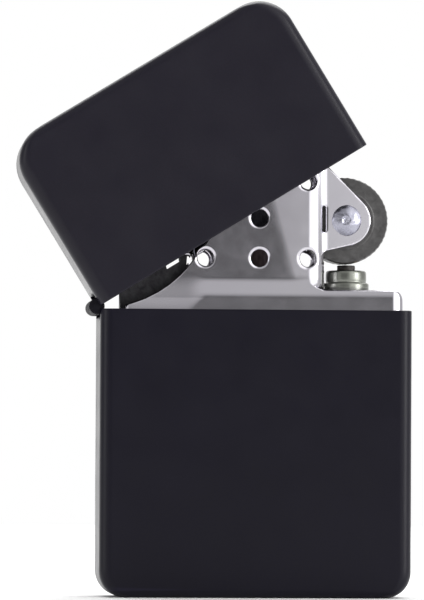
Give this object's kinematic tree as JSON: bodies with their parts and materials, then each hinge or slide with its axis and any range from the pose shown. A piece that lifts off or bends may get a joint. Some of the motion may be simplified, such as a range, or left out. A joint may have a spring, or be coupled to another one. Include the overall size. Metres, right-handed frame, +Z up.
{
  "type": "flip-top lighter",
  "caption": "Flip-top petrol lighter with painted case and hinged lid, steel insert, perforated windscreen, flint wheel, sprung flint, cam, wick and packing.",
  "frame": {"origin": "middle of the case's flat base", "axes": "+Z up, +X across the case away from the hinge, -Y out of the front face; the lid is drawn part open"},
  "size_m": [0.048, 0.013, 0.0726],
  "materials": {
    "black_paint": "satin",
    "hinge_black": "satin",
    "dark_steel": "ground",
    "tank_steel": "brushed",
    "bright_steel": "polished",
    "wheel_steel": "hardened, cut teeth",
    "rivet_steel": "peened",
    "brass": "turned",
    "nickel": "dull nickel",
    "flint": "rough",
    "spring_steel": "drawn wire",
    "cam_steel": "blackened",
    "wick_cotton": "braided",
    "copper": "drawn wire",
    "packing_cotton": "loose fibre",
    "felt": "felt"
  },
  "bodies": {
    "case": {"case_shell": "black_paint", "case_hinge_leaf": "hinge_black", "hinge_pin": "dark_steel", "tank_shell": "tank_steel", "windscreen": "bright_steel", "wheel_rivet": "rivet_steel", "flint_tube": "brass", "tube_collar": "nickel", "flint_spring": "spring_steel", "flint_screw": "brass", "cam_rivet": "rivet_steel", "cam_spring": "cam_steel", "cam_spring_rivet": "rivet_steel", "wick": "wick_cotton", "wick_wire": "copper", "cotton_packing": "packing_cotton", "felt_pad": "felt"},
    "lid": {"lid_shell": "black_paint", "lid_hinge_leaf": "hinge_black"},
    "wheel": {"flint_wheel": "wheel_steel"},
    "cam": {"cam": "cam_steel"},
    "flint": {"flint": "flint", "flint_pusher": "brass"}
  },
  "joints": [
    {"name": "lid_hinge", "type": "hinge", "parent": "case", "child": "lid", "pos_m": [-0.0194, 0, 0.0353], "axis": [0, -1, 0], "range_deg": [-31.5, 83.5]},
    {"name": "cam_pivot", "type": "hinge", "parent": "case", "child": "cam", "pos_m": [-0.0096, 0, 0.0436], "axis": [0, -1, 0], "range_deg": [-12.6, 4.8]},
    {"name": "wheel_spin", "type": "hinge", "parent": "case", "child": "wheel", "pos_m": [0.01105, 0, 0.04605], "axis": [0, 1, 0], "continuous": true},
    {"name": "flint_feed", "type": "slide", "parent": "case", "child": "flint", "axis": [0, 0, 1], "range_m": [-0.003, 0], "stiffness_N_per_m": 80, "springref_m": 0.012, "deforming": ["flint_spring"]}
  ],
  "couplings": [
    {"joint": "cam_pivot", "follows": "lid_hinge", "ratio": -0.15}
  ]
}
